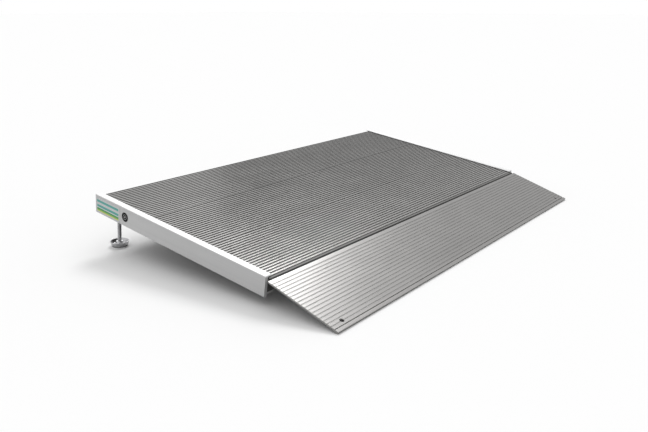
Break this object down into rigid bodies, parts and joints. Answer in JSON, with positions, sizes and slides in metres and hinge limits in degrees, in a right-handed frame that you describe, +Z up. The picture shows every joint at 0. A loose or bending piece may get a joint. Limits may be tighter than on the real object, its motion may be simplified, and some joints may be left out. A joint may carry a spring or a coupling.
{
  "type": "threshold ramp",
  "caption": "Ribbed aluminium threshold ramp with side rails, a hinged transition plate and screw-adjusted swivel feet.",
  "frame": {"origin": "on the floor, below the middle of the whole ramp as it stands", "axes": "+X across the ramp with the labelled rail at -X, +Y up the ramp towards the high end, +Z up"},
  "size_m": [0.9152, 0.5932, 0.1105],
  "materials": {
    "rail": "mill finish, fine lengthwise grain",
    "deck": "mill finish, ribbed, grain along the ribs",
    "plate": "mill finish, grooved, grain along the grooves",
    "leg_plate": "sawn and machined",
    "zinc": "zinc plated",
    "rod": "bright plated, threaded",
    "cup": "pressed and bright plated",
    "sole": "matt",
    "label": "printed film with plain bands",
    "badge": "printed film with a plain pattern"
  },
  "bodies": {
    "ramp_frame": {"left_rail": "rail", "right_rail": "rail", "front_plank": "deck", "middle_plank": "deck", "top_plank": "deck", "rail_screws_left": "zinc", "rail_screws_right": "zinc", "leg_plate_top_left": "leg_plate", "leg_plate_top_right": "leg_plate", "leg_plate_low_left": "leg_plate", "leg_plate_low_right": "leg_plate", "leg_plate_bolts": "zinc", "jam_nuts": "zinc", "rail_label": "label", "round_badge": "badge"},
    "plate": {"transition_plate": "plate"},
    "leg_top_left": {"leg_rod_top_left": "rod"},
    "foot_top_left": {"foot_cup_top_left": "cup", "foot_sole_top_left": "sole"},
    "leg_top_right": {"leg_rod_top_right": "rod"},
    "foot_top_right": {"foot_cup_top_right": "cup", "foot_sole_top_right": "sole"},
    "leg_low_left": {"leg_rod_low_left": "rod"},
    "foot_low_left": {"foot_cup_low_left": "cup", "foot_sole_low_left": "sole"},
    "leg_low_right": {"leg_rod_low_right": "rod"},
    "foot_low_right": {"foot_cup_low_right": "cup", "foot_sole_low_right": "sole"}
  },
  "joints": [
    {"name": "plate_hinge", "type": "hinge", "parent": "ramp_frame", "child": "plate", "pos_m": [0, -0.15285, 0.04385], "axis": [1, 0, 0], "range_deg": [-22, 65]},
    {"name": "leg_travel_top_left", "type": "slide", "parent": "ramp_frame", "child": "leg_top_left", "axis": [0, 0.1271, -0.9919], "range_m": [-0.01, 0.008]},
    {"name": "foot_tilt_top_left", "type": "hinge", "parent": "leg_top_left", "child": "foot_top_left", "pos_m": [-0.424, 0.27736, 0.0066], "axis": [1, 0, 0], "range_deg": [-10, 10]},
    {"name": "leg_travel_top_right", "type": "slide", "parent": "ramp_frame", "child": "leg_top_right", "axis": [0, 0.1271, -0.9919], "range_m": [-0.01, 0.008]},
    {"name": "foot_tilt_top_right", "type": "hinge", "parent": "leg_top_right", "child": "foot_top_right", "pos_m": [0.424, 0.27736, 0.0066], "axis": [1, 0, 0], "range_deg": [-10, 10]},
    {"name": "leg_travel_low_left", "type": "slide", "parent": "ramp_frame", "child": "leg_low_left", "axis": [0, 0.1271, -0.9919], "range_m": [-0.004, 0.008]},
    {"name": "foot_tilt_low_left", "type": "hinge", "parent": "leg_low_left", "child": "foot_low_left", "pos_m": [-0.3602, -0.12237, 0.0066], "axis": [1, 0, 0], "range_deg": [-10, 10]},
    {"name": "leg_travel_low_right", "type": "slide", "parent": "ramp_frame", "child": "leg_low_right", "axis": [0, 0.1271, -0.9919], "range_m": [-0.004, 0.008]},
    {"name": "foot_tilt_low_right", "type": "hinge", "parent": "leg_low_right", "child": "foot_low_right", "pos_m": [0.3602, -0.12237, 0.0066], "axis": [1, 0, 0], "range_deg": [-10, 10]}
  ]
}
